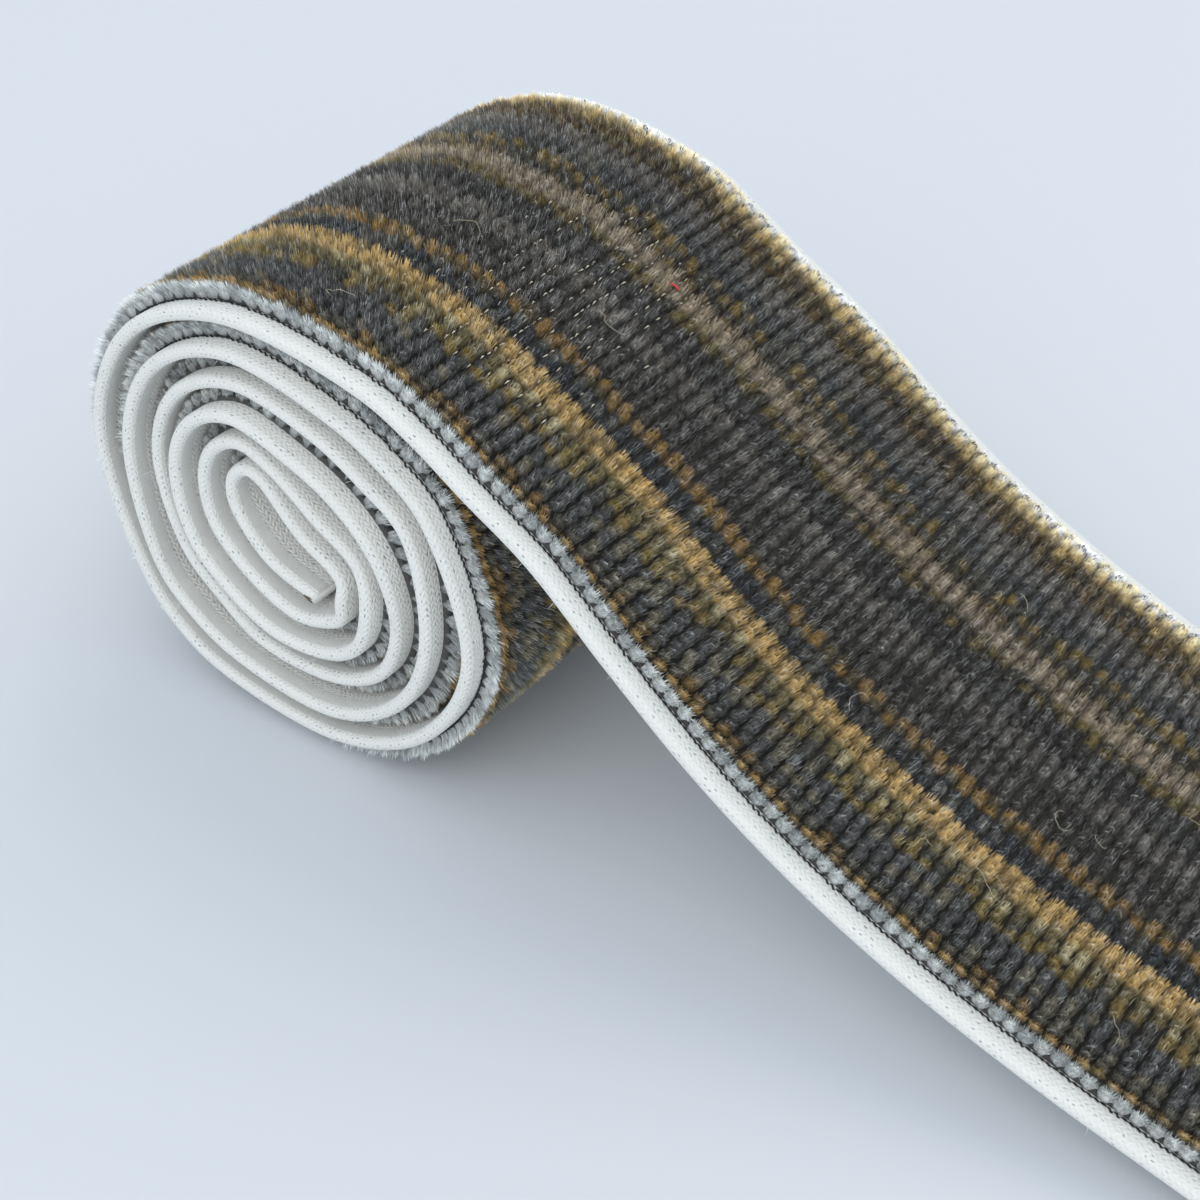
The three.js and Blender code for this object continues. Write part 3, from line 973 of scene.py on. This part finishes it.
class VELVETTAPE_OT_lint(bpy.types.Operator):
    """Scatter the curled lint hairs, the fuzz of the selvedges and the frayed inner end"""

    bl_idname = "velvettape.lint"
    bl_label = "Lint and fuzz"

    def execute(self, context):
        random = draws(6)
        tips = HALF_GROUND + settings().pile_height / MM
        hairs = []
        for _ in range(LINT_HAIRS):
            along, across = random.uniform(FREE_FROM + 60, TAPE.length - 12), random.uniform(4, 45)
            heading = random.uniform(0, 2 * math.pi) + np.cumsum(
                random.normal(*HAIR_TURN, HAIR_JOINTS))
            step = random.uniform(*HAIR_STEP)
            s = along + np.cumsum(np.cos(heading)) * step
            a = np.clip(across + np.cumsum(np.sin(heading)) * step, 2.5, 46.0)
            curl = np.abs(np.sin(np.linspace(0, random.uniform(2, 6), HAIR_JOINTS)))
            hairs.append(TAPE.at(s, a, tips + HAIR_HEIGHT + HAIR_CURL * curl))
        threads("lint_hairs", hairs, 0.022, thread_material("undyed wool lint", "#cfc4a8"))

        fuzz = []
        for _ in range(SELVEDGE_HAIRS):
            along = random.uniform(1, TAPE.length - 1)
            edge, out = ((0.1, -1), (TAPE_WIDTH - 0.1, 1))[random.integers(2)]
            reach = random.uniform(*FUZZ_REACH)
            s = along + random.normal(0, 0.4) * FROM_FOOT
            a = edge + out * reach * FROM_FOOT
            h = random.uniform(-0.4, 0.5) + random.normal(0, 0.25) * FROM_FOOT ** 2
            fuzz.append(TAPE.at(s, a, h))
        threads("selvedge_fuzz", fuzz, 0.02, thread_material("cotton fuzz", "#eef0ee"))

        # One caught red fibre on the roll's shoulder, and yarn ends at the tape's inner cut end
        s = RED_ALONG + np.array((-0.5, -0.1, 0.3, 0.6))
        a = RED_ACROSS + np.array((-0.1, 0.0, 0.05, 0.1))
        h = tips + np.array((0.1, 0.2, 0.2, 0.1))
        threads("red_fibre", [TAPE.at(s, a, h)], 0.12, thread_material("red wool lint", "#d8403c"))
        ends = []
        for across in FRAYED_ACROSS:
            a = across + random.normal(0, 0.15) * FROM_FOOT
            h = random.uniform(0.0, 0.6) + random.normal(0, 0.2) * FROM_FOOT
            ends.append(TAPE.at(1.2 - random.uniform(0.8, 1.6) * FROM_FOOT, a, h))
        threads("frayed_end", ends, 0.10, thread_material("olive binding yarn", "#6e6742"))
        return {"FINISHED"}


# ---- stage

# The camera stands at the photo's angle; lengths are in metres
CAMERA_PLACE = (0.06536, -0.12182, 0.1286)
CAMERA_TURN, CAMERA_DIP = 36.8, 38.5
CAMERA_LENS = 62.28
CAMERA_NEAREST = 0.005
FLOOR_SIZE = 4.0
GRAIN_SCALE, GRAIN_SHARE, GRAIN_COLOUR = 900.0, 0.04, "#b9c6d3"

# Two soft boxes aimed at the roll: name, place, size, power and tint; the pale studio round them
LAMPS = (
    ("window", (0.10, 0.70, 0.95), 1.0, 3.2, "#ffeed4"),
    ("front fill", (0.35, -0.80, 0.78), 1.1, 5.2, "#faf5ee"),
)
STUDIO_COLOUR, STUDIO_STRENGTH = "#dbe6f3", 1.01


class VELVETTAPE_OT_stage(bpy.types.Operator):
    """Set the floor, the soft lamps and the camera"""

    bl_idname = "velvettape.stage"
    bl_label = "Floor, light and camera"

    def execute(self, context):
        scene = context.scene
        # Uncoated paper: matt, with a faint grain
        material, add = new_material("matt paper floor")
        grain = add(NOISE, {"Scale": GRAIN_SCALE, "Detail": 3.0})
        share = add(MATHS, [grain.outputs["Fac"], GRAIN_SHARE], operation="MULTIPLY")
        tone = add(MIX, {
            SHARE: share, FIRST: opaque(settings().floor_colour),
            SECOND: opaque(linear(GRAIN_COLOUR))}, data_type="RGBA")
        shader = add(SHADER, {"Base Color": tone, "Roughness": 0.95})
        add(OUTPUT, [shader])
        mesh = bpy.data.meshes.new("floor")
        corners = ((-1, -1), (1, -1), (1, 1), (-1, 1))
        mesh.from_pydata([(x * FLOOR_SIZE / 2, y * FLOOR_SIZE / 2, 0) for x, y in corners],
                         [], [(0, 1, 2, 3)])
        mesh.materials.append(material)
        floor = bpy.data.objects.new("floor", mesh)
        scene.collection.objects.link(floor)

        camera = bpy.data.objects.new("camera", bpy.data.cameras.new("camera"))
        camera.data.lens = CAMERA_LENS
        camera.data.clip_start = CAMERA_NEAREST
        aim = Euler((math.radians(90 - CAMERA_DIP), 0, math.radians(CAMERA_TURN)))
        camera.matrix_world = Matrix.LocRotScale(Vector(CAMERA_PLACE), aim, None)
        scene.collection.objects.link(camera)
        scene.camera = camera

        for name, place, size, power, tint in LAMPS:
            lamp = bpy.data.lights.new(name, "AREA")
            lamp.size, lamp.energy, lamp.color = size, power, linear(tint)
            light = bpy.data.objects.new(name, lamp)
            light.location = place
            light.rotation_euler = (-Vector(place)).to_track_quat("-Z", "Y").to_euler()
            scene.collection.objects.link(light)

        world = bpy.data.worlds.new("studio")
        world.use_nodes = True
        studio = world.node_tree.nodes["Background"]
        studio.inputs["Color"].default_value = opaque(linear(STUDIO_COLOUR))
        studio.inputs["Strength"].default_value = STUDIO_STRENGTH
        scene.world = world
        scene.view_settings.view_transform = "Standard"
        return {"FINISHED"}


class VELVETTAPE_OT_declare(bpy.types.Operator):
    """Does nothing: no step here declares the ground a sheet of cloth with its pile and threads on
    it
    """

    bl_idname = "velvettape.declare"
    bl_label = "Declare the cloth"

    def execute(self, context):
        return {"FINISHED"}


class VELVETTAPE_PT_panel(bpy.types.Panel):
    """Sizes, colours and pieces of the velvet tape"""

    bl_idname = "VELVETTAPE_PT_panel"
    bl_label = "Velvet tape"
    bl_space_type = "VIEW_3D"
    bl_region_type = "UI"
    bl_category = "Velvet tape"

    def draw(self, context):
        for name in VelvetTapeSettings.__annotations__:
            self.layout.prop(context.scene.velvet_tape_settings, name)
        for piece in PIECES:
            self.layout.operator(piece.bl_idname)


PIECES = (VELVETTAPE_OT_ground, VELVETTAPE_OT_pile, VELVETTAPE_OT_fringe,
          VELVETTAPE_OT_inner_pile, VELVETTAPE_OT_pile_bed, VELVETTAPE_OT_root_thread,
          VELVETTAPE_OT_weft, VELVETTAPE_OT_lint, VELVETTAPE_OT_declare, VELVETTAPE_OT_stage)
CLASSES = (VelvetTapeSettings, *PIECES, VELVETTAPE_PT_panel)


def register():
    for made in CLASSES:
        bpy.utils.register_class(made)
    bpy.types.Scene.velvet_tape_settings = bpy.props.PointerProperty(type=VelvetTapeSettings)


def unregister():
    del bpy.types.Scene.velvet_tape_settings
    for made in reversed(CLASSES):
        bpy.utils.unregister_class(made)


def main():
    register()
    for piece in PIECES:
        getattr(bpy.ops.velvettape, piece.bl_idname.split(".")[1])()


if __name__ == "__main__":
    main()
